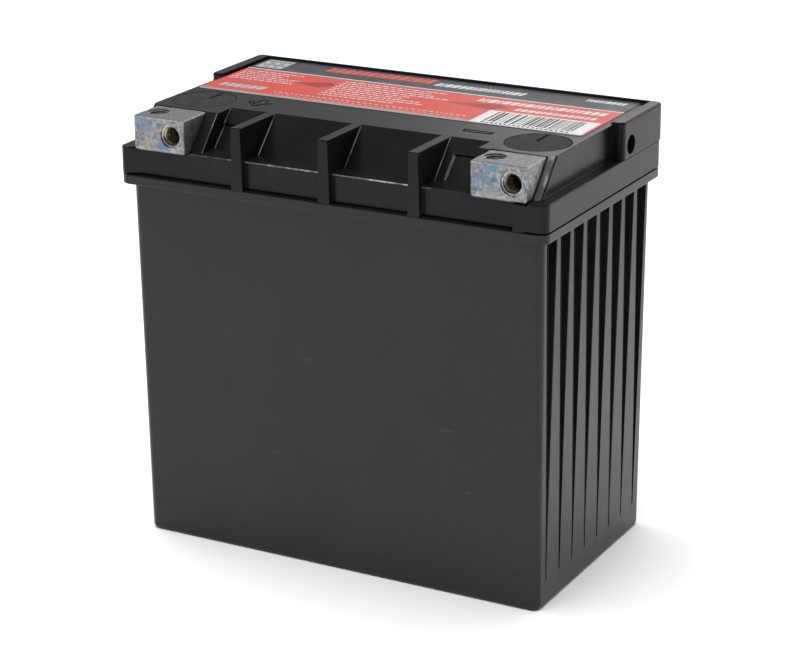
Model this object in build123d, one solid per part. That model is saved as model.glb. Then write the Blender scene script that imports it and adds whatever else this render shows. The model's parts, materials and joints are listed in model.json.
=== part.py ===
from build123d import *
import os

# A sealed 12 V motorcycle battery, in millimetres.
# Origin at the centre of the bottom face. +X runs along the long side, the terminals face -Y, +Z is up.

# Overall size
LENGTH = 150.0
WIDTH = 87.0
HEIGHT = 145.0

# Case
CASE_TOP_Z = 123.8
LIP_HEIGHT = 3.0
LIP_LOWER_EDGE_R = 0.4
BODY_TOP = (144.6, 82.0)
BODY_TOP_Y = 0.5
BODY_BOTTOM = (143.4, 79.4)
BODY_BOTTOM_Y = 0.8
BODY_CORNER_R = 2.8
BOTTOM_EDGE_R = 1.5
LIP_CORNER_R = 3.2
FLOOR_THICKNESS = 3.0
FLUTE_COUNT = 8
FLUTE_PITCH = 9.6
FLUTE_WIDTH = 7.2
FLUTE_DEPTH = 3.0
FLUTE_FOOT_Z = 9.0

# Cells
CELL_COUNT = 6
CELLS_LENGTH = 133.0
CELL_DEPTH = 74.0
CELL_CORNER_R = 1.0
PARTITION = 1.8
CELL_LENGTH = (CELLS_LENGTH - (CELL_COUNT - 1) * PARTITION) / CELL_COUNT
CELL_PITCH = CELL_LENGTH + PARTITION

# Plates, separators, straps and welds
POSITIVE_PLATE = 1.7
NEGATIVE_PLATE = 1.3
PLATES_PER_CELL = 11
SEPARATOR = 0.36
PLATE_GAP = 0.4
PLATE_DEPTH = 70.4
PLATE_FOOT_Z = 5.0
PLATE_TOP_Z = 105.0
SEPARATOR_DEPTH = 72.6
SEPARATOR_MARGIN = 1.0
LUG_WIDTH = 10.0
STRAP_Z = 109.0
STRAP_THICKNESS = 5.0
STRAP_WIDTH = 11.0
STRAP_PLAY = 0.3
STRAP_EDGE_R = 1.2
TAB_THICKNESS = 2.4
TAB_WIDTH = 9.0
TAB_TOP_Z = 121.0
WELD_R = 3.6
WELD_Z = 116.8

# Lid
SEAM_HEIGHT = 0.6
SEAM_DEPTH = 0.9
FRONT_Y = -WIDTH / 2
BACK_Y = WIDTH / 2
PANEL_Y = -41.3
PANEL_X = (-73.4, 64.0)
PANEL_SWEEP = 6.0
PILLAR_X = (64.0, 68.0)
SHELF_Z = 133.0
SKIRT_CORNER_R = 3.0
SKIRT_EDGE_R = 0.4
DECK_Z = 144.0
DECK_EDGE_X = 71.0
CORNER_X = 45.9
CORNER_DECK_Y = -30.0
CORNER_FOOT_Y = -40.0
CORNER_EDGE_R = 2.5
BAY_DECK_Y = -22.0
BAY_FOOT_Y = -33.4
WALL_RECESS = 0.9
WALL_RECESS_X = 36.2
WALL_RECESS_TOP_Z = 139.8
RIB_X = (-31.1, 0.0, 31.1)
RIB_FOOT_WIDTH = 4.2
RIB_TOP_WIDTH = 3.3
END_BLOCK_Y = 12.0
END_BLOCK_CORNER_R = 2.0
TOP_EDGE_R = 0.8
RIM_GAP = 1.3
RIM_WIDTH = 1.5
RIM_GROOVE_DEPTH = 1.6
RIM_GROOVE_START_Y = 13.8
LID_WALL = 2.5
CEILING_Z = 126.4
LID_FLOOR_Z = 129.0
FRONT_HEADSPACE_Z = 141.3
CORNER_HEADSPACE_Z = 129.6
HEADSPACE_BACK_Y = -6.0
HEADSPACE_WALL = 2.0

# Gas plenum, valve necks, valve caps, cover and label
PLENUM_LENGTH = 128.0
PLENUM_Y = (-1.0, 38.5)
PLENUM_CORNER_R = 2.0
COVER_X = 66.6
COVER_Y = (-3.2, 41.0)
COVER_THICKNESS = 2.3
COVER_PLAY = 0.15
COVER_CORNER_R = 1.9
NECK_Y = 19.0
NECK_R = 5.8
NECK_BORE_R = 4.0
NECK_TOP_Z = 139.2
CAP_TOP = 1.5
CAP_WALL = 1.4
CAP_PLAY = 0.05
CAP_FOOT_Z = 131.0
CAP_EDGE_R = 0.5
LABEL_X = (-69.8, 68.4)
LABEL_Y = (-4.2, 41.8)
LABEL_THICKNESS = 0.15
LABEL_CORNER_R = 1.5

# End vent ports
PORT_Y = 18.3
PORT_Z = 137.0
PORT_R = 3.1
PORT_DEPTH = 5.5
FRIT_R = 3.6
FRIT_THICKNESS = 3.0
PORT_CHANNEL = 1.0

# Terminals
TERMINAL_X = 59.4
BLOCK_WIDTH = 18.8
BLOCK_FRONT_Y = -43.5
BLOCK_BACK_Y = -29.6
BLOCK_BOTTOM_Z = 132.4
BLOCK_EDGE_R = 0.5
BLOCK_FOOT_R = 1.4
POCKET_PLAY = 0.1
FRONT_HOLE_X = 4.2
FRONT_HOLE_Z = 138.3
FRONT_MOUTH_R = 3.5
TOP_HOLE_X = -4.8
TOP_HOLE_Y = -36.0
TOP_MOUTH_R = 3.4
THREAD_R = 3.0
INSERT_RECESS = 0.6
FRONT_INSERT_R = 4.0
FRONT_INSERT_LENGTH = 8.9
TOP_INSERT_R = 3.8
TOP_INSERT_LENGTH = 8.0
TANG_WIDTH = 10.0
TANG_THICKNESS = 4.0
TANG_OVERLAP = 1.0
RING_R = 8.0

# Posts, bushings, seals and well discs
POST_Y = -16.5
POST_R = 4.0
POST_TOP_Z = 137.4
POST_PLAY = 0.05
BUSHING_R = 6.5
BUSHING_FOOT_Z = 127.4
SEAL_THICKNESS = 1.5
WELL_R = 9.3
DISC_R = 10.3
DISC_THICKNESS = 2.4
DISC_PLAY = 0.12
DISC_EDGE = 0.3
DISC_SLOT = (1.0, 8.0, 1.0)
DISC_SLOT_Y = 5.5

# Polarity marks cut in the deck
MARK_LINE = 0.6
MARK_DEPTH = 0.5
PLUS_CENTRE = (-41.0, -13.0)
PLUS_SIZE = 8.0
PLUS_ARM = 2.6
MINUS_CENTRE = (37.5, -13.4)
MINUS_SIZE = (10.0, 2.4)

DOWN = (Align.CENTER, Align.CENTER, Align.MIN)


def span_box(x, y, z):
    """A box between two limits along each axis."""
    sizes = (x[1] - x[0], y[1] - y[0], z[1] - z[0])
    centre = ((x[0] + x[1]) / 2, (y[0] + y[1]) / 2, (z[0] + z[1]) / 2)
    return Pos(*centre) * Box(*sizes)


def drum(radius, low, high, x=0.0, y=0.0):
    """An upright cylinder between two heights."""
    return Pos(x, y, low) * Cylinder(radius, high - low, align=DOWN)


def sleeve(outer, inner, low, high, x=0.0, y=0.0):
    """An upright tube between two heights."""
    return drum(outer, low, high, x, y) - drum(inner, low, high, x, y)


def slab(length, depth, radius, low, high, y=0.0):
    """An upright block with round corners, centred on X."""
    outline = Pos(0, y, low) * RectangleRounded(length, depth, radius)
    return extrude(outline, high - low)


def along_x(points, x):
    """A prism along X from an outline of (y, z) points."""
    outline = make_face(Polyline(*[(x[0], py, pz) for py, pz in points], close=True))
    return extrude(outline, x[1] - x[0], dir=(1, 0, 0))


def along_y(points, y):
    """A prism along Y from an outline of (x, z) points."""
    outline = make_face(Polyline(*[(px, y[0], pz) for px, pz in points], close=True))
    return extrude(outline, y[1] - y[0], dir=(0, 1, 0))


def along_z(points, z):
    """A prism along Z from an outline of (x, y) points."""
    outline = make_face(Polyline(*[(px, py, z[0]) for px, py in points], close=True))
    return extrude(outline, z[1] - z[0], dir=(0, 0, 1))


def cell_x(cell):
    """The middle of a cell, counted from the left end."""
    return (cell - (CELL_COUNT - 1) / 2) * CELL_PITCH


def positive_y(cell):
    """Where the positive lugs stand: the side alternates from cell to cell."""
    return POST_Y if cell % 2 == 0 else -POST_Y


def side(end):
    """A terminal's place: -1 is the positive end, +1 the negative end."""
    return end * TERMINAL_X


def flute(end, y):
    """A tapered groove in an end wall, deep and wide at the top and closing at its foot."""
    top_z = CASE_TOP_Z - LIP_HEIGHT
    floor_x = BODY_TOP[0] / 2 - FLUTE_DEPTH
    foot_x = BODY_BOTTOM[0] / 2
    half = FLUTE_WIDTH / 2
    opening = along_x([(y - half, top_z), (y + half, top_z), (y, FLUTE_FOOT_Z)], (0, LENGTH))
    slope = [(floor_x, top_z), (LENGTH, top_z), (LENGTH, FLUTE_FOOT_Z), (foot_x, FLUTE_FOOT_Z)]
    groove = opening & along_y(slope, (y - half, y + half))
    return groove if end > 0 else mirror(groove, Plane.YZ)


def make_case():
    lip_z = CASE_TOP_Z - LIP_HEIGHT
    bottom = Pos(0, BODY_BOTTOM_Y, 0) * RectangleRounded(*BODY_BOTTOM, BODY_CORNER_R)
    top = Pos(0, BODY_TOP_Y, lip_z) * RectangleRounded(*BODY_TOP, BODY_CORNER_R)
    body = loft([bottom.face(), top.face()])
    body = fillet(body.faces().sort_by(Axis.Z)[0].edges(), BOTTOM_EDGE_R)
    first_y = BODY_TOP_Y - (FLUTE_COUNT - 1) / 2 * FLUTE_PITCH
    for end in (-1, 1):
        body -= [flute(end, first_y + number * FLUTE_PITCH) for number in range(FLUTE_COUNT)]
    lip = slab(LENGTH, WIDTH, LIP_CORNER_R, lip_z, CASE_TOP_Z)
    body += fillet(lip.faces().sort_by(Axis.Z)[0].edges(), LIP_LOWER_EDGE_R)
    for cell in range(CELL_COUNT):
        room = RectangleRounded(CELL_LENGTH, CELL_DEPTH, CELL_CORNER_R)
        body -= extrude(Pos(cell_x(cell), 0, FLOOR_THICKNESS) * room, CASE_TOP_Z)
    for cell in range(CELL_COUNT - 1):
        body -= weld(cell)
    return body


def weld(cell):
    """The lead plug through the partition to the right of a cell."""
    x = cell_x(cell) + CELL_PITCH / 2
    return Pos(x, -positive_y(cell), WELD_Z) * Rot(0, 90, 0) * Cylinder(WELD_R, PARTITION)


def plate(x, thickness, lug_y):
    body = span_box(
        (x, x + thickness), (-PLATE_DEPTH / 2, PLATE_DEPTH / 2), (PLATE_FOOT_Z, PLATE_TOP_Z))
    lug = span_box(
        (x, x + thickness), (lug_y - LUG_WIDTH / 2, lug_y + LUG_WIDTH / 2), (PLATE_TOP_Z, STRAP_Z))
    return body + lug


def make_cell_stack(cell):
    """One cell's plates and separators, negative plates outermost."""
    positives = []
    negatives = []
    separators = []
    thicknesses = [POSITIVE_PLATE if n % 2 else NEGATIVE_PLATE for n in range(PLATES_PER_CELL)]
    total = sum(thicknesses) + PLATE_GAP * (PLATES_PER_CELL - 1)
    x = cell_x(cell) - total / 2
    lug_y = positive_y(cell)
    for number, thickness in enumerate(thicknesses):
        is_positive = number % 2 == 1
        group = positives if is_positive else negatives
        group.append(plate(x, thickness, lug_y if is_positive else -lug_y))
        x += thickness
        if number < PLATES_PER_CELL - 1:
            middle = x + PLATE_GAP / 2
            separators.append(span_box(
                (middle - SEPARATOR / 2, middle + SEPARATOR / 2),
                (-SEPARATOR_DEPTH / 2, SEPARATOR_DEPTH / 2),
                (PLATE_FOOT_Z - SEPARATOR_MARGIN, PLATE_TOP_Z + SEPARATOR_MARGIN)))
            x += PLATE_GAP
    return Compound(positives), Compound(negatives), Compound(separators)


def make_strap(cell, y, tab_side):
    """A cast strap over one polarity's lugs, with a tab against a partition (tab_side 0: no tab)."""
    middle = cell_x(cell)
    half = CELL_LENGTH / 2 - STRAP_PLAY
    strap = span_box(
        (middle - half, middle + half),
        (y - STRAP_WIDTH / 2, y + STRAP_WIDTH / 2),
        (STRAP_Z, STRAP_Z + STRAP_THICKNESS))
    strap = fillet(strap.edges().filter_by(Axis.Z), STRAP_EDGE_R)
    if tab_side:
        inner = CELL_LENGTH / 2 - TAB_THICKNESS
        edges = sorted((middle + tab_side * inner, middle + tab_side * CELL_LENGTH / 2))
        strap += span_box(edges, (y - TAB_WIDTH / 2, y + TAB_WIDTH / 2), (STRAP_Z, TAB_TOP_Z))
    return strap


def rib(x):
    """A tapered rib across the front bays, standing on the case's lip."""
    half_foot = RIB_FOOT_WIDTH / 2
    half_top = RIB_TOP_WIDTH / 2
    taper = [
        (x - half_foot, CASE_TOP_Z), (x + half_foot, CASE_TOP_Z),
        (x + half_top, DECK_Z), (x - half_top, DECK_Z)]
    return along_y(taper, (FRONT_Y, BAY_DECK_Y))


def make_lid_outside():
    """The moulding's outer form: skirt, front bays, ribs, corner cheeks, end blocks and rim."""
    skirt_z = CASE_TOP_Z + SEAM_HEIGHT
    seam = 2 * SEAM_DEPTH
    body = slab(LENGTH, WIDTH, SKIRT_CORNER_R, skirt_z, SHELF_Z)
    panel = [
        (PANEL_X[0], -WIDTH), (PANEL_X[0], FRONT_Y), (PANEL_X[0] + PANEL_SWEEP, PANEL_Y),
        (PANEL_X[1], PANEL_Y), (PANEL_X[1], -WIDTH)]
    body -= along_z(panel, (CASE_TOP_Z, SHELF_Z))
    body = fillet(body.faces().sort_by(Axis.Z)[-1].edges(), SKIRT_EDGE_R)
    foot = slab(LENGTH - seam, WIDTH - seam, SKIRT_CORNER_R, CASE_TOP_Z, skirt_z)
    body += foot - span_box((-LENGTH, LENGTH), (-WIDTH, PANEL_Y + SEAM_DEPTH), (CASE_TOP_Z, skirt_z))
    body += span_box(PILLAR_X, (FRONT_Y, PANEL_Y + SEAM_DEPTH), (CASE_TOP_Z, SHELF_Z))
    body += along_x(
        [(BAY_FOOT_Y, SHELF_Z), (BAY_DECK_Y, DECK_Z), (BACK_Y, DECK_Z), (BACK_Y, SHELF_Z)],
        (-CORNER_X, CORNER_X))
    corner = along_x(
        [(CORNER_FOOT_Y, SHELF_Z), (CORNER_DECK_Y, DECK_Z), (BACK_Y, DECK_Z), (BACK_Y, SHELF_Z)],
        (CORNER_X, DECK_EDGE_X))
    corner = fillet(corner.edges().group_by(Axis.X)[-1].group_by(Axis.Y)[0], CORNER_EDGE_R)
    block = span_box((DECK_EDGE_X, LENGTH / 2), (END_BLOCK_Y, BACK_Y), (SHELF_Z, HEIGHT))
    block = fillet(block.edges().filter_by(Axis.Z).group_by(Axis.X)[-1], END_BLOCK_CORNER_R)
    block = fillet(block.edges().group_by(Axis.Z)[-1].sort_by(Axis.X)[1:], TOP_EDGE_R)
    for piece in (corner, block):
        body += piece
        body += mirror(piece, Plane.YZ)
    rim = span_box((-DECK_EDGE_X, DECK_EDGE_X), (BACK_Y - RIM_WIDTH, BACK_Y), (SHELF_Z, HEIGHT))
    body += fillet(rim.edges().filter_by(Axis.X).group_by(Axis.Z)[-1].sort_by(Axis.Y)[-1], TOP_EDGE_R)
    for x in RIB_X:
        body += rib(x)
    return body


def bay_wall_recess(end):
    """A shallow step in the sloping wall of each outer bay."""
    slope = (BAY_DECK_Y - BAY_FOOT_Y) / (DECK_Z - SHELF_Z)
    top_y = BAY_FOOT_Y + slope * (WALL_RECESS_TOP_Z - SHELF_Z)
    outline = [
        (BAY_FOOT_Y - WALL_RECESS, SHELF_Z),
        (BAY_FOOT_Y + WALL_RECESS, SHELF_Z),
        (top_y + WALL_RECESS, WALL_RECESS_TOP_Z),
        (top_y - WALL_RECESS, WALL_RECESS_TOP_Z)]
    step = along_x(outline, (WALL_RECESS_X, CORNER_X))
    return step if end > 0 else mirror(step, Plane.YZ)


def headspace(cell):
    """The gas space over one cell, open to the case below."""
    middle = cell_x(cell)
    x = (middle - CELL_LENGTH / 2, middle + CELL_LENGTH / 2)
    half = CELL_DEPTH / 2
    outline = [(half, CEILING_Z), (half, CASE_TOP_Z), (-half, CASE_TOP_Z), (-half, CORNER_HEADSPACE_Z)]
    if cell in (0, CELL_COUNT - 1):
        outline += [(HEADSPACE_BACK_Y, CORNER_HEADSPACE_Z)]
    else:
        outline += [
            (BAY_FOOT_Y + HEADSPACE_WALL, CORNER_HEADSPACE_Z),
            (BAY_DECK_Y + HEADSPACE_WALL, FRONT_HEADSPACE_Z),
            (HEADSPACE_BACK_Y, FRONT_HEADSPACE_Z)]
    outline += [(HEADSPACE_BACK_Y, CEILING_Z)]
    return along_x(outline, x)


def polarity_marks():
    """Outlined plus and minus signs."""
    plus = Rectangle(PLUS_SIZE, PLUS_ARM) + Rectangle(PLUS_ARM, PLUS_SIZE)
    core = PLUS_SIZE - 2 * MARK_LINE
    plus -= Rectangle(core, PLUS_ARM - 2 * MARK_LINE) + Rectangle(PLUS_ARM - 2 * MARK_LINE, core)
    minus = Rectangle(*MINUS_SIZE) - Rectangle(*[size - 2 * MARK_LINE for size in MINUS_SIZE])
    floor_z = DECK_Z - MARK_DEPTH
    plus_cut = extrude(Pos(*PLUS_CENTRE, floor_z) * plus, MARK_DEPTH)
    minus_cut = extrude(Pos(*MINUS_CENTRE, floor_z) * minus, MARK_DEPTH)
    return [plus_cut, minus_cut]


def make_lid():
    body = make_lid_outside()
    for end in (-1, 1):
        body -= bay_wall_recess(end)
        body -= terminal_pocket(end)
        gap = sorted((end * (DECK_EDGE_X - RIM_GAP), end * DECK_EDGE_X))
        groove_y = (RIM_GROOVE_START_Y, BACK_Y - RIM_WIDTH)
        body -= span_box(gap, groove_y, (DECK_Z - RIM_GROOVE_DEPTH, HEIGHT))
    body -= polarity_marks()
    body -= [headspace(cell) for cell in range(CELL_COUNT)]
    plenum_depth = PLENUM_Y[1] - PLENUM_Y[0]
    body -= slab(PLENUM_LENGTH, plenum_depth, PLENUM_CORNER_R, LID_FLOOR_Z, DECK_Z, sum(PLENUM_Y) / 2)
    seat_length = 2 * (COVER_X + COVER_PLAY)
    seat_depth = COVER_Y[1] - COVER_Y[0] + 2 * COVER_PLAY
    seat_z = DECK_Z - COVER_THICKNESS
    body -= slab(seat_length, seat_depth, PLENUM_CORNER_R, seat_z, DECK_Z, sum(COVER_Y) / 2)
    for cell in range(CELL_COUNT):
        body += drum(NECK_R, LID_FLOOR_Z, NECK_TOP_Z, cell_x(cell), NECK_Y)
        body -= drum(NECK_BORE_R, CEILING_Z, NECK_TOP_Z, cell_x(cell), NECK_Y)
    boss_z = BUSHING_FOOT_Z - SEAL_THICKNESS
    for end in (-1, 1):
        body += sleeve(BUSHING_R + LID_WALL, BUSHING_R, boss_z, BLOCK_BOTTOM_Z, side(end), POST_Y)
        body -= drum(BUSHING_R, boss_z, BLOCK_BOTTOM_Z, side(end), POST_Y)
        port_floor = end * (LENGTH / 2 - PORT_DEPTH)
        body -= x_drum(FRIT_R, sorted((end * (PLENUM_LENGTH / 2 - PORT_CHANNEL), port_floor)))
        body -= x_drum(PORT_R, sorted((port_floor, end * LENGTH / 2)))
    return body


def terminal_pocket(end):
    """The room for one terminal: the block's seat, the tang's slot, the post well and the disc's seat."""
    x = side(end)
    half = BLOCK_WIDTH / 2 + POCKET_PLAY
    tang_half = TANG_WIDTH / 2 + POCKET_PLAY
    tang_top = BLOCK_BOTTOM_Z + TANG_THICKNESS + POCKET_PLAY
    return [
        span_box((x - half, x + half), (-WIDTH, BLOCK_BACK_Y + POCKET_PLAY), (BLOCK_BOTTOM_Z, HEIGHT)),
        span_box((x - tang_half, x + tang_half), (BLOCK_BACK_Y, POST_Y), (BLOCK_BOTTOM_Z, tang_top)),
        drum(WELL_R, BLOCK_BOTTOM_Z, DECK_Z, x, POST_Y),
        drum(DISC_R + DISC_PLAY, DECK_Z - DISC_THICKNESS, DECK_Z, x, POST_Y)]


def x_drum(radius, x):
    """A cylinder along X on the vent port's axis."""
    return Pos((x[0] + x[1]) / 2, PORT_Y, PORT_Z) * Rot(0, 90, 0) * Cylinder(radius, x[1] - x[0])


def make_cover():
    depth = COVER_Y[1] - COVER_Y[0]
    foot_z = DECK_Z - COVER_THICKNESS
    return slab(2 * COVER_X, depth, COVER_CORNER_R, foot_z, DECK_Z, sum(COVER_Y) / 2)


def make_label():
    length = LABEL_X[1] - LABEL_X[0]
    depth = LABEL_Y[1] - LABEL_Y[0]
    centre = (sum(LABEL_X) / 2, sum(LABEL_Y) / 2, DECK_Z)
    return extrude(Pos(*centre) * RectangleRounded(length, depth, LABEL_CORNER_R), LABEL_THICKNESS)


def make_valve_cap(cell):
    """A rubber cap over a valve neck, resting on the neck's rim."""
    x = cell_x(cell)
    inner = NECK_R + CAP_PLAY
    top = NECK_TOP_Z + CAP_TOP
    cap = drum(inner + CAP_WALL, CAP_FOOT_Z, top, x, NECK_Y)
    cap -= drum(inner, CAP_FOOT_Z, NECK_TOP_Z, x, NECK_Y)
    return fillet(cap.faces().sort_by(Axis.Z)[-1].edges(), CAP_EDGE_R)


def make_frit(end):
    """The porous flame arrestor behind a vent port."""
    outer = LENGTH / 2 - PORT_DEPTH
    return x_drum(FRIT_R, sorted((end * (outer - FRIT_THICKNESS), end * outer)))


def front_hole(radius, low, high, x):
    """A cylinder along Y on the front hole's axis."""
    middle = Pos(x + FRONT_HOLE_X, (low + high) / 2, FRONT_HOLE_Z)
    return middle * Rot(90, 0, 0) * Cylinder(radius, high - low)


def make_terminal(end):
    x = side(end)
    half = BLOCK_WIDTH / 2
    block = span_box((x - half, x + half), (BLOCK_FRONT_Y, BLOCK_BACK_Y), (BLOCK_BOTTOM_Z, DECK_Z))
    upright = block.edges().filter_by(Axis.Z).group_by(Axis.Y)[0]
    block = fillet(upright, BLOCK_EDGE_R)
    foot = block.edges().filter_by(Axis.Y).group_by(Axis.Z)[0]
    block = fillet(foot, BLOCK_FOOT_R)
    tang = span_box(
        (x - TANG_WIDTH / 2, x + TANG_WIDTH / 2), (BLOCK_BACK_Y - TANG_OVERLAP, POST_Y),
        (BLOCK_BOTTOM_Z, BLOCK_BOTTOM_Z + TANG_THICKNESS))
    block += tang
    block += drum(RING_R, BLOCK_BOTTOM_Z, BLOCK_BOTTOM_Z + TANG_THICKNESS, x, POST_Y)
    block -= drum(POST_R + POST_PLAY, BLOCK_BOTTOM_Z, DECK_Z, x, POST_Y)
    seat = BLOCK_FRONT_Y + INSERT_RECESS
    block -= front_hole(FRONT_MOUTH_R, BLOCK_FRONT_Y, seat, x)
    block -= front_hole(FRONT_INSERT_R, seat, seat + FRONT_INSERT_LENGTH, x)
    top_seat = DECK_Z - INSERT_RECESS
    block -= drum(TOP_MOUTH_R, top_seat, DECK_Z, x + TOP_HOLE_X, TOP_HOLE_Y)
    block -= drum(TOP_INSERT_R, top_seat - TOP_INSERT_LENGTH, top_seat, x + TOP_HOLE_X, TOP_HOLE_Y)
    return block


def make_front_insert(end):
    x = side(end)
    seat = BLOCK_FRONT_Y + INSERT_RECESS
    far = seat + FRONT_INSERT_LENGTH
    return front_hole(FRONT_INSERT_R, seat, far, x) - front_hole(THREAD_R, seat, far, x)


def make_top_insert(end):
    seat = DECK_Z - INSERT_RECESS
    return sleeve(
        TOP_INSERT_R, THREAD_R, seat - TOP_INSERT_LENGTH, seat, side(end) + TOP_HOLE_X, TOP_HOLE_Y)


def make_disc(end):
    """The flush disc that closes a post well, with a short slot."""
    x = side(end)
    disc = drum(DISC_R, DECK_Z - DISC_THICKNESS, DECK_Z, x, POST_Y)
    disc = chamfer(disc.faces().sort_by(Axis.Z)[-1].edges(), DISC_EDGE)
    width, length, depth = DISC_SLOT
    slot_x = x - end * width
    slot_y = POST_Y + DISC_SLOT_Y
    return disc - span_box(
        (slot_x - width / 2, slot_x + width / 2), (slot_y - length / 2, slot_y + length / 2),
        (DECK_Z - depth, DECK_Z))


def save(shape, node):
    export_step(shape, f"parts/{node}.step")


os.makedirs("parts", exist_ok=True)

save(make_case(), "case")
save(make_lid(), "lid")
save(make_cover(), "vent_cover")
save(make_label(), "label")
save(Compound([weld(cell) for cell in range(CELL_COUNT - 1)]), "intercell_welds")

for cell in range(CELL_COUNT):
    number = cell + 1
    positives, negatives, separators = make_cell_stack(cell)
    save(positives, f"positive_plates_{number}")
    save(negatives, f"negative_plates_{number}")
    save(separators, f"separators_{number}")
    positive_tab = -1 if cell > 0 else 0
    negative_tab = 1 if cell < CELL_COUNT - 1 else 0
    save(make_strap(cell, positive_y(cell), positive_tab), f"positive_strap_{number}")
    save(make_strap(cell, -positive_y(cell), negative_tab), f"negative_strap_{number}")
    save(make_valve_cap(cell), f"valve_cap_{number}")

for end, polarity in ((-1, "positive"), (1, "negative")):
    x = side(end)
    save(make_terminal(end), f"terminal_{polarity}")
    save(make_front_insert(end), f"front_insert_{polarity}")
    save(make_top_insert(end), f"top_insert_{polarity}")
    save(drum(POST_R, STRAP_Z + STRAP_THICKNESS, POST_TOP_Z, x, POST_Y), f"post_{polarity}")
    save(
        sleeve(BUSHING_R, POST_R + POST_PLAY, BUSHING_FOOT_Z, BLOCK_BOTTOM_Z, x, POST_Y),
        f"post_bushing_{polarity}")
    save(
        sleeve(BUSHING_R, POST_R + POST_PLAY, BUSHING_FOOT_Z - SEAL_THICKNESS, BUSHING_FOOT_Z, x, POST_Y),
        f"post_seal_{polarity}")
    save(make_disc(end), f"well_disc_{polarity}")
    save(make_frit(end), f"vent_frit_{'left' if end < 0 else 'right'}")
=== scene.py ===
import json
import math
import random

import bmesh
import bpy
from mathutils import Matrix, Vector, noise
from mathutils.bvhtree import BVHTree


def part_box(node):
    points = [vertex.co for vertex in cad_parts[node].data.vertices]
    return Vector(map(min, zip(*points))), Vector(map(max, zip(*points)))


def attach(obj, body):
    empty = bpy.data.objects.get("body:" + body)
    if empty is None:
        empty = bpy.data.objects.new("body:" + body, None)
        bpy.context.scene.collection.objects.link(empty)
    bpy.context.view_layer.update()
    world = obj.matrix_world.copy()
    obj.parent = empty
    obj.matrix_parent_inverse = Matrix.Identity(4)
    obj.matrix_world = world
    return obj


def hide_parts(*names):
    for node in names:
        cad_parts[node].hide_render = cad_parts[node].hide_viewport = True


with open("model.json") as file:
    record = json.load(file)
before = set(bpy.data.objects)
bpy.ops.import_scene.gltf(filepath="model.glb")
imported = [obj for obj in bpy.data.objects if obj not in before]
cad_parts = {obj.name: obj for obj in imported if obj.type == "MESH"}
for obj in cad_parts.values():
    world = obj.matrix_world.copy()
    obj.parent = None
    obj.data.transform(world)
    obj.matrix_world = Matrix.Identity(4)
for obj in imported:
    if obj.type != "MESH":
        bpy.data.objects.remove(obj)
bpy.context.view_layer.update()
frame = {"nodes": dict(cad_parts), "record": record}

MM = 0.001

# ---------------------------------------------------------------- camera, floor and lights

CAMERA_PLACE = Vector((371.93, -681.12, 340.25)) * MM
CAMERA_AIM = Vector((2.77, 0.0, 68.98)) * MM
CAMERA_ROLL = math.radians(-0.39)
CAMERA_LENS = 113.14


def link(thing):
    bpy.context.collection.objects.link(thing)
    return thing


def make_camera():
    data = bpy.data.cameras.new("camera")
    data.lens = CAMERA_LENS
    data.clip_start = 0.01
    camera = link(bpy.data.objects.new("camera", data))
    turn = (CAMERA_AIM - CAMERA_PLACE).to_track_quat("-Z", "Y").to_matrix()
    roll = Matrix.Rotation(CAMERA_ROLL, 3, "Z")
    camera.matrix_world = Matrix.Translation(CAMERA_PLACE) @ (turn @ roll).to_4x4()
    bpy.context.scene.camera = camera


def make_light(name, place, aim, size, power, color=(1.0, 1.0, 1.0), mirrored=True):
    data = bpy.data.lights.new(name, "AREA")
    data.shape = "RECTANGLE"
    data.size, data.size_y = size
    data.energy = power
    data.color = color
    light = link(bpy.data.objects.new(name, data))
    light.location = place
    light.visible_glossy = mirrored
    light.rotation_euler = (Vector(aim) - Vector(place)).to_track_quat("-Z", "Y").to_euler()


def make_floor():
    bm = bmesh.new()
    bmesh.ops.create_grid(bm, x_segments=1, y_segments=1, size=6.0)
    mesh = bpy.data.meshes.new("floor")
    bm.to_mesh(mesh)
    bm.free()
    floor = link(bpy.data.objects.new("floor", mesh))
    mesh.materials.append(floor_material())


def make_world():
    """Even white studio light from all round."""
    world = bpy.data.worlds.new("studio")
    world.use_nodes = True
    bpy.context.scene.world = world
    background = world.node_tree.nodes["Background"]
    background.inputs["Color"].default_value = (1.0, 1.0, 1.0, 1.0)
    background.inputs["Strength"].default_value = 0.34


# ---------------------------------------------------------------- node tools

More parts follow.
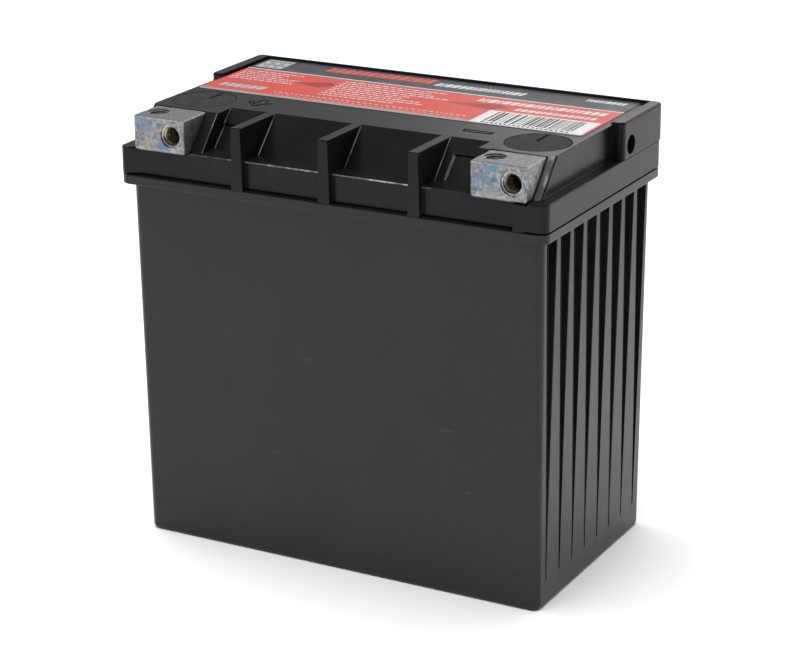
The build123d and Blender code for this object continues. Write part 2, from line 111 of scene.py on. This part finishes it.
class Graph:
    """Short calls for building a node tree."""

    def __init__(self, tree):
        self.tree = tree

    def add(self, kind, values=None, **settings):
        node = self.tree.nodes.new(kind)
        for key, value in settings.items():
            setattr(node, key, value)
        for socket, value in (values or {}).items():
            self.feed(node.inputs[socket], value)
        return node

    def feed(self, socket, value):
        if isinstance(value, bpy.types.NodeSocket):
            self.tree.links.new(value, socket)
        else:
            socket.default_value = value

    def math(self, operation, a, b=0.0, c=0.0):
        return self.add("ShaderNodeMath", {0: a, 1: b, 2: c}, operation=operation).outputs[0]

    def noise(self, vector, scale, detail=3.0, roughness=0.5, distortion=0.0):
        values = {
            "Vector": vector, "Scale": scale, "Detail": detail,
            "Roughness": roughness, "Distortion": distortion}
        return self.add("ShaderNodeTexNoise", values).outputs["Fac"]

    def cells(self, vector, scale, output="Distance"):
        return self.add("ShaderNodeTexVoronoi", {"Vector": vector, "Scale": scale}).outputs[output]

    def stretch(self, vector, scale, turn=(0.0, 0.0, 0.0)):
        return self.add("ShaderNodeMapping", {"Vector": vector, "Scale": scale, "Rotation": turn}).outputs[0]

    def remap(self, value, low, high, to_low=0.0, to_high=1.0):
        values = {"Value": value, "From Min": low, "From Max": high, "To Min": to_low, "To Max": to_high}
        return self.add("ShaderNodeMapRange", values, interpolation_type="SMOOTHSTEP").outputs["Result"]

    def mix(self, factor, a, b):
        node = self.add("ShaderNodeMix", data_type="RGBA")
        for socket, value in ((node.inputs["Factor"], factor), (node.inputs[6], a), (node.inputs[7], b)):
            self.feed(socket, (*value, 1.0) if isinstance(value, tuple) else value)
        return node.outputs[2]

    def bump(self, height_value, strength, distance):
        values = {"Height": height_value, "Strength": strength, "Distance": distance}
        return self.add("ShaderNodeBump", values).outputs["Normal"]

    def attribute(self, name, output="Fac"):
        return self.add("ShaderNodeAttribute", attribute_name=name).outputs[output]


def surface_group():
    """Masks shared by every surface: soft clouds, fine grain, scratches, dust and specks."""
    tree = bpy.data.node_groups.new("surface_masks", "ShaderNodeTree")
    tree.interface.new_socket("Vector", in_out="INPUT", socket_type="NodeSocketVector")
    names = ("Cloud", "Grain", "Scratch", "Dust", "Speck")
    for name in names:
        tree.interface.new_socket(name, in_out="OUTPUT", socket_type="NodeSocketFloat")
    graph = Graph(tree)
    place = graph.add("NodeGroupInput").outputs["Vector"]
    out = graph.add("NodeGroupOutput").inputs
    streaks = graph.noise(graph.stretch(place, (90.0, 2600.0, 900.0), (0.3, 0.5, 0.9)), 1.0, 2.0)
    crossing = graph.noise(graph.stretch(place, (2400.0, 70.0, 800.0), (0.7, 0.2, 0.4)), 1.0, 2.0)
    lines = graph.math("MAXIMUM", graph.remap(streaks, 0.68, 0.74), graph.remap(crossing, 0.69, 0.75))
    values = (
        graph.noise(place, 22.0, 4.0, 0.6),
        graph.noise(place, 2600.0, 2.0, 0.6),
        graph.math("MULTIPLY", lines, graph.remap(graph.noise(place, 60.0), 0.5, 0.65)),
        graph.remap(graph.noise(place, 300.0, 6.0, 0.75), 0.55, 0.8),
        graph.remap(graph.cells(place, 900.0), 0.12, 0.05))
    for name, value in zip(names, values):
        graph.feed(out[name], value)
    return tree


SURFACE = surface_group()


def new_material(name):
    """A material with its graph, its shader, object coordinates and the shared masks."""
    material = bpy.data.materials.new(name)
    material.use_nodes = True
    graph = Graph(material.node_tree)
    shader = material.node_tree.nodes["Principled BSDF"]
    place = graph.add("ShaderNodeTexCoord").outputs["Object"]
    masks = graph.add("ShaderNodeGroup", node_tree=SURFACE)
    graph.feed(masks.inputs["Vector"], place)
    return material, graph, shader.inputs, place, masks.outputs


# ---------------------------------------------------------------- materials

def floor_material():
    material, graph, shader, place, masks = new_material("floor")
    graph.feed(shader["Base Color"], graph.mix(graph.noise(place, 3.0), (0.9, 0.9, 0.9), (0.93, 0.93, 0.93)))
    shader["Roughness"].default_value = 0.9
    return material


def plastic(name, dark, light, lit_edges, rough, grain, gloss):
    """Moulded polypropylene: soft tone clouds, fine grain, light scratches, dust and a painted highlight on marked
    edge faces.
    """
    material, graph, shader, place, masks = new_material(name)
    color = graph.mix(graph.remap(masks["Cloud"], 0.3, 0.7), dark, light)
    haze = graph.math("MULTIPLY", masks["Dust"], graph.remap(graph.noise(place, 45.0), 0.45, 0.7, 0.0, 0.10))
    color = graph.mix(haze, color, (0.30, 0.29, 0.27))
    color = graph.mix(graph.math("MULTIPLY", masks["Scratch"], 0.10), color, (0.25, 0.25, 0.25))
    # Painted highlight: marked edge faces are lightened towards the given edge colour, in ragged patches.
    patches = graph.remap(graph.noise(place, 170.0, 4.0, 0.6), 0.42, 0.62, 0.25, 1.0)
    edge = graph.math("MULTIPLY", graph.attribute("edge_highlight"), patches)
    graph.feed(shader["Base Color"], graph.mix(edge, color, lit_edges))
    shader["Specular IOR Level"].default_value = gloss
    tone = graph.remap(masks["Cloud"], 0.3, 0.7, rough[0], rough[1])
    tone = graph.math("ADD", tone, graph.math("MULTIPLY", masks["Scratch"], 0.15))
    graph.feed(shader["Roughness"], tone)
    relief = graph.math("ADD", graph.math("MULTIPLY", masks["Grain"], grain), graph.noise(place, 240.0, 2.0))
    graph.feed(shader["Normal"], graph.bump(relief, 0.20, 0.00005))
    return material


def disc_plastic():
    """The well discs' coarse, matt plastic."""
    material, graph, shader, place, masks = new_material("disc_plastic")
    coarse = graph.noise(place, 900.0, 5.0, 0.8)
    color = graph.mix(graph.remap(coarse, 0.35, 0.7), (0.010, 0.010, 0.011), (0.045, 0.045, 0.046))
    graph.feed(shader["Base Color"], color)
    graph.feed(shader["Roughness"], graph.remap(coarse, 0.3, 0.7, 0.6, 0.85))
    shader["Specular IOR Level"].default_value = 0.22
    graph.feed(shader["Normal"], graph.bump(coarse, 0.6, 0.0002))
    return material


BLUE = (0.17, 0.28, 0.41)
STRAW = (0.40, 0.37, 0.24)
TARNISH = (
    ((55.5, -43.5, 138.5), 11.0, BLUE), ((57.0, -42.0, 143.5), 7.0, BLUE), ((56.0, -43.5, 134.6), 5.0, STRAW),
    ((-65.0, -43.5, 140.5), 8.0, BLUE), ((-58.0, -43.5, 134.0), 6.0, BLUE), ((-64.0, -43.5, 134.5), 5.0, STRAW))


def cast_alloy():
    """Tinned cast lead: mottled silver with blue and straw patches, dull spots, darker edges of pits and a painted
    highlight on the top face.
    """
    material, graph, shader, place, masks = new_material("terminal_alloy")
    cloud = graph.noise(place, 820.0, 7.0, 0.72, 0.4)
    color = graph.mix(graph.remap(cloud, 0.34, 0.62), (0.19, 0.195, 0.20), (0.42, 0.43, 0.435))
    streaks = graph.noise(graph.stretch(place, (1.0, 1.0, 0.35), (0.0, 0.5, 0.2)), 520.0, 6.0, 0.7)
    color = graph.mix(graph.remap(streaks, 0.52, 0.68, 0.0, 0.55), color, (0.16, 0.165, 0.17))
    ragged = graph.noise(place, 260.0, 5.0, 0.7)
    for spot, reach, tint in TARNISH:
        centre = Vector(spot) * MM
        away = graph.add("ShaderNodeVectorMath", {0: place, 1: centre}, operation="DISTANCE").outputs["Value"]
        near = graph.remap(away, reach * MM, 0.0)
        amount = graph.remap(graph.math("MULTIPLY_ADD", ragged, 2.6, near), 1.75, 2.45, 0.0, 0.8)
        color = graph.mix(amount, color, tint)
    pits = graph.remap(graph.noise(place, 2300.0, 4.0, 0.7), 0.60, 0.70)
    color = graph.mix(graph.math("MULTIPLY", pits, 0.6), color, (0.09, 0.09, 0.09))
    # Painted highlight: the top face is lightened towards pale silver.
    height = graph.add("ShaderNodeSeparateXYZ", {0: place}).outputs["Z"]
    color = graph.mix(graph.remap(height, 0.1431, 0.1437, 0.0, 0.45), color, (0.78, 0.79, 0.80))
    lightened = graph.math("MULTIPLY", masks["Scratch"], 0.8)
    color = graph.mix(lightened, color, (0.72, 0.73, 0.73))
    graph.feed(shader["Base Color"], color)
    shader["Metallic"].default_value = 1.0
    graph.feed(shader["Roughness"], graph.remap(cloud, 0.3, 0.7, 0.62, 0.46))
    relief = graph.math("ADD", graph.noise(place, 700.0, 5.0, 0.65), graph.math("MULTIPLY", masks["Scratch"], 0.4))
    graph.feed(shader["Normal"], graph.bump(relief, 0.55, 0.0002))
    return material


def insert_metal():
    """Nickel-bright at the mouth; further down the thread a painted shade makes the brass dull and dark."""
    material, graph, shader, place, masks = new_material("insert_brass")
    cloud = graph.remap(graph.noise(place, 700.0, 5.0, 0.7), 0.35, 0.65)
    mouth = graph.mix(cloud, (0.30, 0.29, 0.26), (0.58, 0.57, 0.53))
    # Painted shade: the colour down the bore is far darker than the brass itself, and takes over with depth.
    bore_shade = graph.mix(cloud, (0.032, 0.026, 0.014), (0.12, 0.10, 0.055))
    graph.feed(shader["Base Color"], graph.mix(graph.remap(graph.attribute("depth"), 0.03, 0.22), mouth, bore_shade))
    shader["Metallic"].default_value = 1.0
    graph.feed(shader["Roughness"], graph.remap(cloud, 0.0, 1.0, 0.38, 0.24))
    graph.feed(shader["Normal"], graph.bump(cloud, 0.3, 0.0001))
    return material


def metal(name, dark, light, rough, relief_scale):
    """A dull metal with soft tone clouds and a fine uneven surface."""
    material, graph, shader, place, masks = new_material(name)
    cloud = graph.noise(place, relief_scale / 3.0, 5.0, 0.6, 0.4)
    graph.feed(shader["Base Color"], graph.mix(graph.remap(cloud, 0.35, 0.65), dark, light))
    shader["Metallic"].default_value = 1.0
    graph.feed(shader["Roughness"], graph.remap(cloud, 0.3, 0.7, rough[0], rough[1]))
    graph.feed(shader["Normal"], graph.bump(graph.noise(place, relief_scale, 4.0), 0.4, 0.0002))
    return material


def rough_matter(name, dark, light, scale, depth, stretch=(1.0, 1.0, 1.0), pores=False):
    """A dry matt material: pasted plate, glass mat, rubber or porous frit."""
    material, graph, shader, place, masks = new_material(name)
    spread = graph.stretch(place, stretch)
    value = graph.cells(spread, scale) if pores else graph.noise(spread, scale, 6.0, 0.7)
    graph.feed(shader["Base Color"], graph.mix(graph.remap(value, 0.3, 0.7), dark, light))
    graph.feed(shader["Roughness"], graph.remap(value, 0.2, 0.8, 0.7, 0.95))
    graph.feed(shader["Normal"], graph.bump(value, 0.7, depth))
    return material


PRINT_ROWS = (
    (28.1, (0.030, 0.035, 0.041)),
    (27.2, (0.42, 0.44, 0.45)),
    (26.8, (0.030, 0.035, 0.041)),
    (-1.8, (0.42, 0.046, 0.033)),
    (-99.0, (0.22, 0.215, 0.205)))


def label_film():
    """The label's printed ground, from its back edge forwards: dark band, white rule, red band, grey margin."""
    material, graph, shader, place, masks = new_material("label_film")
    y = graph.add("ShaderNodeSeparateXYZ", {0: place}).outputs["Y"]
    ragged = graph.math("ADD", y, graph.math("MULTIPLY", graph.noise(place, 900.0), 0.0003))
    color = PRINT_ROWS[-1][1]
    for limit, tone in reversed(PRINT_ROWS[:-1]):
        color = graph.mix(graph.math("GREATER_THAN", ragged, limit * MM), color, tone)
    fade = graph.remap(graph.noise(place, 260.0, 5.0, 0.7), 0.45, 0.75, 0.0, 0.25)
    graph.feed(shader["Base Color"], graph.mix(fade, color, (0.18, 0.12, 0.11)))
    shader["Specular IOR Level"].default_value = 0.38
    graph.feed(shader["Roughness"], graph.remap(masks["Cloud"], 0.3, 0.7, 0.34, 0.46))
    graph.feed(shader["Normal"], graph.bump(graph.noise(place, 160.0, 3.0), 0.25, 0.0002))
    return material


def label_ink():
    """Printed marks: each takes its tone from the mesh, broken up by small gaps in the ink."""
    material, graph, shader, place, masks = new_material("label_ink")
    gaps = graph.remap(graph.noise(place, 1800.0, 3.0, 0.6), 0.50, 0.66, 0.0, 0.55)
    graph.feed(shader["Base Color"], graph.mix(gaps, graph.attribute("ink", "Color"), (0.20, 0.12, 0.11)))
    graph.feed(shader["Roughness"], graph.remap(masks["Cloud"], 0.3, 0.7, 0.36, 0.48))
    return material


# ---------------------------------------------------------------- piece tools

def cad_copy(node):
    """A CAD node's mesh as one merged skin of flat faces."""
    source = frame["nodes"][node]
    bm = bmesh.new()
    bm.from_mesh(source.data)
    bm.transform(source.matrix_world)
    bmesh.ops.remove_doubles(bm, verts=bm.verts, dist=0.001 * MM)
    bmesh.ops.dissolve_limit(bm, angle_limit=math.radians(0.8), verts=bm.verts, edges=bm.edges)
    bmesh.ops.recalc_face_normals(bm, faces=bm.faces)
    return bm


DIRECTIONS = [Vector(d).normalized() for d in (
    (0, 0, 1), (0, -1, 0), (0, 1, 0), (1, 0, 0), (-1, 0, 0), (0, 0, -1),
    (1, -1, 1), (-1, -1, 1), (0, -1, 1), (0, 1, 1))]


THIN_FACE = 0.3
LONG_EDGE = 5.0
SHELF_EDGE_Y = -40.5
SHELF_EDGE_Z = (132.0, 134.0)
BAY_CORNER_Z = (133.0, 143.95)


def seen_edges(bm, angle):
    """Sharp edges that open air can reach in a straight line."""
    tree = BVHTree.FromBMesh(bm)
    found = []
    for edge in bm.edges:
        if len(edge.link_faces) != 2 or edge.calc_face_angle(0.0) < angle:
            continue
        if edge.calc_length() < 0.7 * MM:
            continue
        out = (edge.link_faces[0].normal + edge.link_faces[1].normal).normalized()
        start = (edge.verts[0].co + edge.verts[1].co) / 2 + out * 0.02 * MM
        if any(tree.ray_cast(start, way)[0] is None for way in DIRECTIONS):
            found.append(edge)
    return found


def lightened(face):
    """How strong the painted highlight on an edge face is: the shelf's front edges most, then the ribs' inner
    corners.
    """
    place = face.calc_center_median() / MM
    normal = face.normal
    if max(edge.calc_length() for edge in face.edges) < LONG_EDGE * MM or normal.y > -0.2:
        return 0.0
    on_shelf = place.y < SHELF_EDGE_Y and SHELF_EDGE_Z[0] < place.z < SHELF_EDGE_Z[1]
    if on_shelf and normal.z > 0.15 and abs(normal.x) < 0.3:
        return 1.0
    in_bay = BAY_CORNER_Z[0] < place.z < BAY_CORNER_Z[1]
    if in_bay and normal.z > 0.1 and normal.x > 0.3:
        return 0.55
    return 0.0


def soften(bm, width, lit_edges=False):
    """Small round edges; their thin faces can be marked so that the material paints a highlight on them."""
    edge_light = bm.faces.layers.float.new("edge_highlight")
    bmesh.ops.bevel(
        bm, geom=seen_edges(bm, math.radians(25)), offset=width * MM, offset_type="OFFSET", segments=2, profile=0.5,
        affect="EDGES", material=-1, clamp_overlap=False)
    bm.normal_update()
    for face in bm.faces:
        longest = max(edge.calc_length() for edge in face.edges)
        # Thin edge faces get their painted highlight amount.
        if lit_edges and face.calc_area() / longest < THIN_FACE * MM:
            face[edge_light] = lightened(face)


def add_piece(name, bm, material, replaced=(), smooth=math.radians(35)):
    """Turn a finished mesh into a piece of the battery, in place of the CAD nodes named."""
    mesh = bpy.data.meshes.new(name)
    bm.to_mesh(mesh)
    bm.free()
    mesh.materials.append(material)
    for polygon in mesh.polygons:
        polygon.use_smooth = True
    mesh.set_sharp_from_angle(angle=smooth)
    piece = link(bpy.data.objects.new(name, mesh))
    weighted = piece.modifiers.new("weighted", "WEIGHTED_NORMAL")
    weighted.keep_sharp = True
    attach(piece, "battery")
    if replaced:
        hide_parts(*replaced)
    return piece


def remeshed(bm, voxel):
    """The same skin rebuilt from small even faces."""
    mesh = bpy.data.meshes.new("remesh_source")
    bm.to_mesh(mesh)
    bm.free()
    source = link(bpy.data.objects.new("remesh_source", mesh))
    step = source.modifiers.new("remesh", "REMESH")
    step.mode = "VOXEL"
    step.voxel_size = voxel * MM
    bpy.context.view_layer.update()
    built = source.evaluated_get(bpy.context.evaluated_depsgraph_get()).to_mesh()
    fresh = bmesh.new()
    fresh.from_mesh(built)
    bpy.data.objects.remove(source)
    bpy.data.meshes.remove(mesh)
    return fresh


# ---------------------------------------------------------------- pieces

def make_moulding(name, node, material, edge, lit_edges=False):
    """A plastic moulding: the CAD node's shape with small round edges."""
    bm = cad_copy(node)
    soften(bm, edge, lit_edges)
    add_piece(name, bm, material, [node])


def make_cast_terminal(end):
    """The terminal with soft, slightly uneven cast faces. Every point moves inwards only."""
    node = f"terminal_{end}"
    bm = cad_copy(node)
    soften(bm, 0.45)
    bm = remeshed(bm, 0.26)
    bm.normal_update()
    moves = []
    for vertex in bm.verts:
        place = vertex.co / MM
        broad = noise.noise(place * 0.22)
        fine = noise.fractal(place * 0.9, 1.0, 2.0, 3)
        moves.append(-vertex.normal * (0.12 + 0.09 * broad + 0.035 * fine) * MM)
    for vertex, move in zip(bm.verts, moves):
        vertex.co += move
    add_piece(f"cast_{node}", bm, LOOKS["terminal_alloy"], [node], math.radians(60))


THREAD_PITCH = 1.0
THREAD_ROOT_R = 3.02
THREAD_CREST_R = 2.52
THREAD_LEAD = 0.35
SPIN_STEPS = 48


def spin_profile(bm, points, shift=0.0, closed=True):
    """A full turn of (radius, height) points about Z, rising by shift. Lengths in millimetres."""
    verts = [bm.verts.new((r * MM, 0.0, z * MM)) for r, z in points]
    edges = [bm.edges.new(pair) for pair in zip(verts, verts[1:])]
    if closed:
        edges.append(bm.edges.new((verts[-1], verts[0])))
    bmesh.ops.spin(
        bm, geom=verts + edges, cent=(0, 0, 0), axis=(0, 0, 1), dvec=(0, 0, shift * MM / SPIN_STEPS),
        angle=2 * math.pi, steps=SPIN_STEPS, use_merge=shift == 0.0)


def make_threaded_insert(node, slot, turn):
    """A brass bush with a real helical thread, its mouth along the hole's axis."""
    corner_a, corner_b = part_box(node)
    size = corner_b - corner_a
    front = turn is not None
    length = (size.y if front else size.z) / MM
    outer = size.x / MM / 2
    middle = (corner_a + corner_b) / 2
    mouth = Vector((middle.x, corner_a.y, middle.z)) if front else Vector((middle.x, middle.y, corner_b.z))
    bm = bmesh.new()
    chamfer = 0.25
    spin_profile(bm, [
        (THREAD_ROOT_R + chamfer, 0.0), (outer - 0.02, 0.0), (outer - 0.02, -length),
        (THREAD_ROOT_R - 0.02, -length), (THREAD_ROOT_R - 0.02, -chamfer)])
    turns = int(length - 1.5)
    zigzag = []
    for number in range(turns):
        z = -THREAD_LEAD - number * THREAD_PITCH
        zigzag += [(THREAD_ROOT_R, z), (THREAD_CREST_R, z - 0.42), (THREAD_CREST_R, z - 0.58)]
    zigzag.append((THREAD_ROOT_R, -THREAD_LEAD - turns * THREAD_PITCH))
    spin_profile(bm, zigzag, -THREAD_PITCH, closed=False)
    bmesh.ops.remove_doubles(bm, verts=bm.verts, dist=0.004 * MM)
    bmesh.ops.recalc_face_normals(bm, faces=bm.faces)
    depth = bm.verts.layers.float.new("depth")
    for vertex in bm.verts:
        vertex[depth] = -vertex.co.z / MM / length
    if front:
        bm.transform(turn)
    bm.transform(Matrix.Translation(mouth))
    add_piece(f"threaded_{node}", bm, LOOKS[slot], [node])


SEAM_Z = 124.1
SEAM_BED = (74.05, -40.6, 42.55)
SEAM_CORNER_R = 2.4


def make_weld_bead():
    """The uneven line of weld flash at the bottom of the groove between the case and the lid."""
    rng = random.Random(5)
    half_x, front_y, back_y = SEAM_BED
    r = SEAM_CORNER_R
    corners = (
        (half_x - r, front_y + r, -90), (half_x - r, back_y - r, 0),
        (r - half_x, back_y - r, 90), (r - half_x, front_y + r, 180))
    path = []
    for number, (cx, cy, start) in enumerate(corners):
        for step in range(5):
            angle = math.radians(start + step * 22.5)
            path.append(Vector((cx + r * math.cos(angle), cy + r * math.sin(angle), 0.0)))
        nx, ny, nstart = corners[(number + 1) % 4]
        target = Vector((nx + r * math.cos(math.radians(nstart)), ny + r * math.sin(math.radians(nstart)), 0.0))
        origin = path[-1].copy()
        count = int((target - origin).length)
        path += [origin.lerp(target, n / count) for n in range(1, count)]
    bm = bmesh.new()
    rings = []
    for number, place in enumerate(path):
        ahead = (path[(number + 1) % len(path)] - path[number - 1]).normalized()
        out = Vector((ahead.y, -ahead.x, 0.0))
        size = 0.26 + 0.10 * noise.noise(place * 0.35) + rng.uniform(-0.03, 0.03)
        lift = 0.06 * noise.noise(place * 0.2 + Vector((9.0, 0.0, 0.0)))
        ring = []
        for side in range(8):
            angle = side * math.pi / 4
            point = place + out * size * math.cos(angle) + Vector((0.0, 0.0, SEAM_Z + lift + size * math.sin(angle)))
            ring.append(bm.verts.new(point * MM))
        rings.append(ring)
    for ring, following in zip(rings, rings[1:] + rings[:1]):
        for side in range(8):
            bm.faces.new((ring[side], ring[(side + 1) % 8], following[(side + 1) % 8], following[side]))
    bmesh.ops.recalc_face_normals(bm, faces=bm.faces)
    add_piece("weld_bead", bm, LOOKS["lid_plastic"])


WHITE = (0.46, 0.48, 0.49)
SILVER = (0.30, 0.32, 0.33)
CORAL = (0.42, 0.055, 0.040)
DEEP_RED = (0.22, 0.012, 0.010)
BLACK = (0.012, 0.012, 0.013)
PRINT_Z = 144.165
LAYER_Z = 0.012


class Print:
    """Flat printed marks on the label, with no lettering: blocks, bars and wedges."""

    def __init__(self):
        self.bm = bmesh.new()
        self.ink = self.bm.loops.layers.float_color.new("ink")
        self.random = random.Random(11)

    def shape(self, points, color, layer=0):
        z = (PRINT_Z + LAYER_Z * layer) * MM
        face = self.bm.faces.new([self.bm.verts.new((x * MM, y * MM, z)) for x, y in points])
        for loop in face.loops:
            loop[self.ink] = (*color, 1.0)

    def block(self, x0, x1, y0, y1, color, layer=0, slant=0.0):
        self.shape(((x0, y0), (x1, y0), (x1 + slant, y1), (x0 + slant, y1)), color, layer)

    def row(self, x0, x1, y0, y1, color, words, gap, slant=0.0):
        """One greeked line of blocks of uneven length."""
        x = x0
        while x < x1 - words[0]:
            end = min(x1, x + self.random.uniform(*words))
            self.block(x, end, y0, y1, color, 1, slant)
            x = end + gap

    def page(self, x0, x1, y_top, rows, height, pitch, words, gap):
        """Several greeked lines of uneven length, from the back edge forwards."""
        for number in range(rows):
            y = y_top - number * pitch
            end = x1 - self.random.uniform(0.0, 0.35) * (x1 - x0)
            self.row(x0, end, y - height, y, WHITE, words, gap)


def make_print():
    """The label's printing, greeked: a symbol panel, rows of blocks, two wedges and a bar panel."""
    sheet = Print()
    # symbol panel and three rows of blocks on the dark band
    sheet.block(-68.6, -58.6, 30.0, 40.4, SILVER)
    for x in range(5):
        for y in range(4):
            if (x * y + x + y) % 2:
                sheet.block(-67.8 + 1.8 * x, -66.5 + 1.8 * x, 31.0 + 2.2 * y, 32.6 + 2.2 * y, (0.10, 0.11, 0.12), 1)
    sheet.row(-44.0, -4.0, 34.0, 39.6, CORAL, (1.4, 3.4), 0.55, 1.0)
    sheet.row(-2.0, 30.0, 32.6, 36.4, WHITE, (0.7, 2.1), 0.6, 1.0)
    sheet.row(51.0, 65.0, 35.8, 38.6, WHITE, (0.5, 1.4), 0.45, 0.6)
    # fine lines, wedges and heavy lines on the red band
    sheet.page(-68.6, -42.0, 24.4, 6, 0.7, 2.2, (0.6, 2.8), 0.5)
    sheet.page(-30.0, 12.0, 24.4, 9, 0.75, 2.3, (0.7, 3.2), 0.5)
    sheet.shape(((-45.0, 16.0), (-34.0, 13.0), (-30.5, 17.4), (-33.0, 20.6), (-36.0, 20.0)), DEEP_RED)
    sheet.shape(((11.0, 15.4), (28.0, 12.4), (33.0, 16.8), (30.0, 19.4)), DEEP_RED)
    sheet.row(20.0, 65.0, 20.4, 24.2, WHITE, (1.0, 2.8), 0.7, 0.8)
    sheet.row(36.0, 64.0, 14.4, 17.2, WHITE, (0.9, 2.0), 0.6, 0.6)
    sheet.row(-66.0, -49.0, 1.8, 5.8, SILVER, (1.2, 2.8), 0.6, 0.8)
    sheet.row(-44.0, 26.0, 1.4, 2.0, WHITE, (0.5, 1.6), 0.9)
    sheet.row(-44.0, 26.0, -1.0, -0.4, SILVER, (0.5, 1.6), 1.1)
    # a white panel with a meaningless bar pattern
    sheet.block(29.4, 67.6, -3.6, 12.0, (0.50, 0.52, 0.52))
    x = 33.0
    while x < 63.0:
        width = sheet.random.choice((0.3, 0.45, 0.7, 1.0))
        sheet.block(x, x + width, -0.8, 11.0, BLACK, 1)
        x += width + sheet.random.choice((0.35, 0.5, 0.8))
    sheet.row(33.0, 63.0, -2.9, -1.6, BLACK, (0.6, 1.3), 0.7)
    add_piece("label_print", sheet.bm, INK)


# ---------------------------------------------------------------- build

LOOKS = {
    # The fourth colour of each plastic is its painted edge highlight.
    "case_plastic": plastic(
        "case_plastic", (0.0080, 0.0086, 0.0095), (0.0125, 0.0131, 0.0140), (0.10, 0.10, 0.10),
        rough=(0.27, 0.36), grain=0.25, gloss=0.32),
    "lid_plastic": plastic(
        "lid_plastic", (0.0045, 0.0048, 0.0053), (0.0085, 0.0087, 0.0090), (0.36, 0.36, 0.35),
        rough=(0.24, 0.33), grain=0.35, gloss=0.2),
    "label_film": label_film(),
    "terminal_alloy": cast_alloy(),
    "insert_brass": insert_metal(),
    "cast_lead": metal("cast_lead", (0.20, 0.21, 0.23), (0.42, 0.43, 0.45), (0.45, 0.65), 500.0),
    "positive_paste": rough_matter("positive_paste", (0.055, 0.028, 0.018), (0.17, 0.085, 0.055), 700.0, 0.0003),
    "negative_paste": rough_matter("negative_paste", (0.14, 0.145, 0.15), (0.34, 0.345, 0.35), 700.0, 0.0003),
    "glass_mat": rough_matter("glass_mat", (0.55, 0.56, 0.54), (0.86, 0.87, 0.85), 300.0, 0.0003, (1.0, 1.0, 6.0)),
    "valve_rubber": rough_matter("valve_rubber", (0.012, 0.012, 0.012), (0.035, 0.035, 0.036), 600.0, 0.0001),
    "disc_plastic": disc_plastic(),
    "frit": rough_matter("frit", (0.35, 0.35, 0.33), (0.80, 0.80, 0.77), 1500.0, 0.0004, pores=True),
}
INK = label_ink()

for part in frame["record"]["subparts"]:
    node = frame["nodes"][part["node"]]
    node.data.materials.clear()
    node.data.materials.append(LOOKS[part["material_slot"]])

FRONT = Matrix.Rotation(math.radians(90), 4, "X")

make_moulding("case_shell", "case", LOOKS["case_plastic"], 0.2)
# Only the lid's thin edge faces get the painted highlight.
make_moulding("lid_shell", "lid", LOOKS["lid_plastic"], 0.22, lit_edges=True)
for end in ("positive", "negative"):
    make_cast_terminal(end)
    make_threaded_insert(f"front_insert_{end}", "insert_brass", FRONT)
    make_threaded_insert(f"top_insert_{end}", "insert_brass", None)
    make_moulding(f"disc_{end}", f"well_disc_{end}", LOOKS["disc_plastic"], 0.12)
make_weld_bead()
make_print()

make_camera()
make_floor()
make_world()
bpy.context.scene.view_settings.view_transform = "Standard"
make_light("overhead", (-0.2, -0.1, 1.6), (0, 0, 0.05), (2.2, 1.8), 48.0, mirrored=False)
make_light("back_panel", (0.4, 2.2, 0.9), (0, 0, 0.1), (3.3, 1.5), 16.0, (1.0, 0.97, 0.93))
